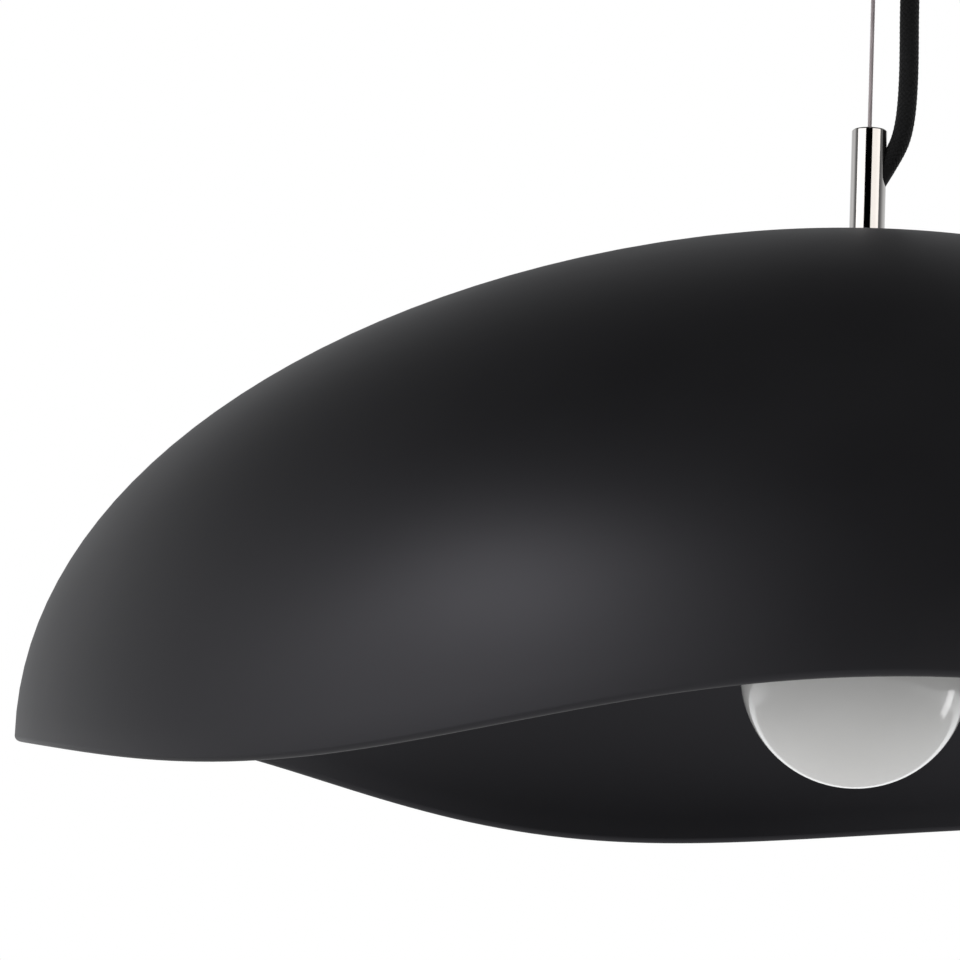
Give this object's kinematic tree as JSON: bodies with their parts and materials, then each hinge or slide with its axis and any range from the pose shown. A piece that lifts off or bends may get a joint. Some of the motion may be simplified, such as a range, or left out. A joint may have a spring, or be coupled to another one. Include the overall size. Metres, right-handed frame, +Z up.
{
  "type": "pendant ceiling light",
  "caption": "Pendant ceiling light with a wavy-rimmed matt black dome, polished stem, steel cable, black textile flex, ceiling canopy and opal globe bulb.",
  "frame": {"origin": "centre of the ceiling strap's top face, on the ceiling", "axes": "+Z up into the ceiling, +X towards the side where the flex runs, +Y away from the viewer of the front"},
  "size_m": [0.5818, 0.5816, 0.3393],
  "materials": {
    "shade_black": "matt black lacquer on a moulded composite dome",
    "polished_nickel": "mirror-polished nickel plate",
    "steel_cable": "twisted stranded steel",
    "black_textile": "braided black textile sleeve",
    "opal_glass": "opal white glass, gloss",
    "canopy_black": "satin black powder coat",
    "zinc_steel": "zinc plated",
    "spring_steel": "bright spring steel",
    "swaged_metal": "swaged alloy",
    "black_plastic": "moulded nylon",
    "black_bakelite": "moulded thermoset",
    "white_plastic": "moulded polyamide",
    "ceramic": "glazed white porcelain",
    "brass": "pressed brass",
    "bulb_metal": "rolled screw cap",
    "black_glass": "black vitreous insulator",
    "clear_glass": "clear glass mount",
    "filament": "phosphor-coated light rods",
    "solder": "solder",
    "black_rubber": "soft black rubber",
    "brown_insulation": "brown core insulation",
    "blue_insulation": "blue core insulation",
    "earth_insulation": "green and yellow core insulation"
  },
  "bodies": {
    "ceiling_mount": {"ceiling_strap": "zinc_steel", "anchor_boss": "zinc_steel", "canopy_cup": "canopy_black", "gripper_body": "polished_nickel", "gripper_spring": "spring_steel", "cable_tail": "steel_cable", "tail_crimp": "swaged_metal", "cord_gland": "black_plastic", "gland_nut": "black_plastic", "gland_screw": "zinc_steel", "cord_tail": "black_textile", "live_core_upper": "brown_insulation", "neutral_core_upper": "blue_insulation", "earth_core_upper": "earth_insulation", "terminal_block": "white_plastic", "terminal_clamps": "brass", "terminal_screws": "zinc_steel", "earth_screw": "brass"},
    "release_plunger": {"release_plunger": "polished_nickel", "gripper_balls": "spring_steel"},
    "cable_neck": {"bend_sleeve": "polished_nickel"},
    "suspension": {"suspension_cable": "steel_cable", "cable_ferrule": "swaged_metal", "power_cord": "black_textile"},
    "lamp": {"stem_tube": "polished_nickel", "stem_cap": "polished_nickel", "cord_inner": "black_textile", "cord_end_sleeve": "black_rubber", "live_core_lower": "brown_insulation", "neutral_core_lower": "blue_insulation", "earth_core_lower": "earth_insulation", "threaded_nipple": "zinc_steel", "shade": "shade_black", "rubber_washer": "black_rubber", "steel_washer": "zinc_steel", "shade_nut": "zinc_steel", "holder_nut": "zinc_steel", "holder_cap": "black_bakelite", "holder_shell": "black_bakelite", "holder_insert": "ceramic", "holder_terminals": "brass", "thread_shell": "brass", "centre_contact": "brass"},
    "bulb_tip": {"bulb_contact": "solder"},
    "bulb": {"bulb_globe": "opal_glass", "bulb_shell": "bulb_metal", "bulb_insulator": "black_glass", "bulb_stem": "clear_glass", "bulb_filaments": "filament"}
  },
  "joints": [
    {"name": "plunger_press", "type": "slide", "parent": "ceiling_mount", "child": "release_plunger", "axis": [0, 0, 1], "range_m": [0, 0.002], "stiffness_N_per_m": 400, "springref_m": -0.0005, "deforming": ["gripper_spring"]},
    {"name": "swing_front", "type": "hinge", "parent": "ceiling_mount", "child": "cable_neck", "pos_m": [0, 0, -0.045], "axis": [1, 0, 0], "range_deg": [-8, 8]},
    {"name": "swing_side", "type": "hinge", "parent": "cable_neck", "child": "suspension", "pos_m": [0, 0, -0.045], "axis": [0, 1, 0], "range_deg": [-8, 8]},
    {"name": "lamp_swivel", "type": "hinge", "parent": "suspension", "child": "lamp", "pos_m": [0, 0, -0.095], "axis": [0, 0, 1], "range_deg": [-90, 90], "deforming": ["power_cord"]},
    {"name": "bulb_draw", "type": "slide", "parent": "lamp", "child": "bulb_tip", "axis": [0, 0, -1], "range_m": [0, 0.01815]},
    {"name": "bulb_turn", "type": "hinge", "parent": "bulb_tip", "child": "bulb", "pos_m": [0, 0, -0.289], "axis": [0, 0, -1], "range_deg": [0, 1800.01]}
  ],
  "couplings": [
    {"joint": "bulb_turn", "follows": "bulb_draw", "rad_per_m": 1731.4}
  ]
}
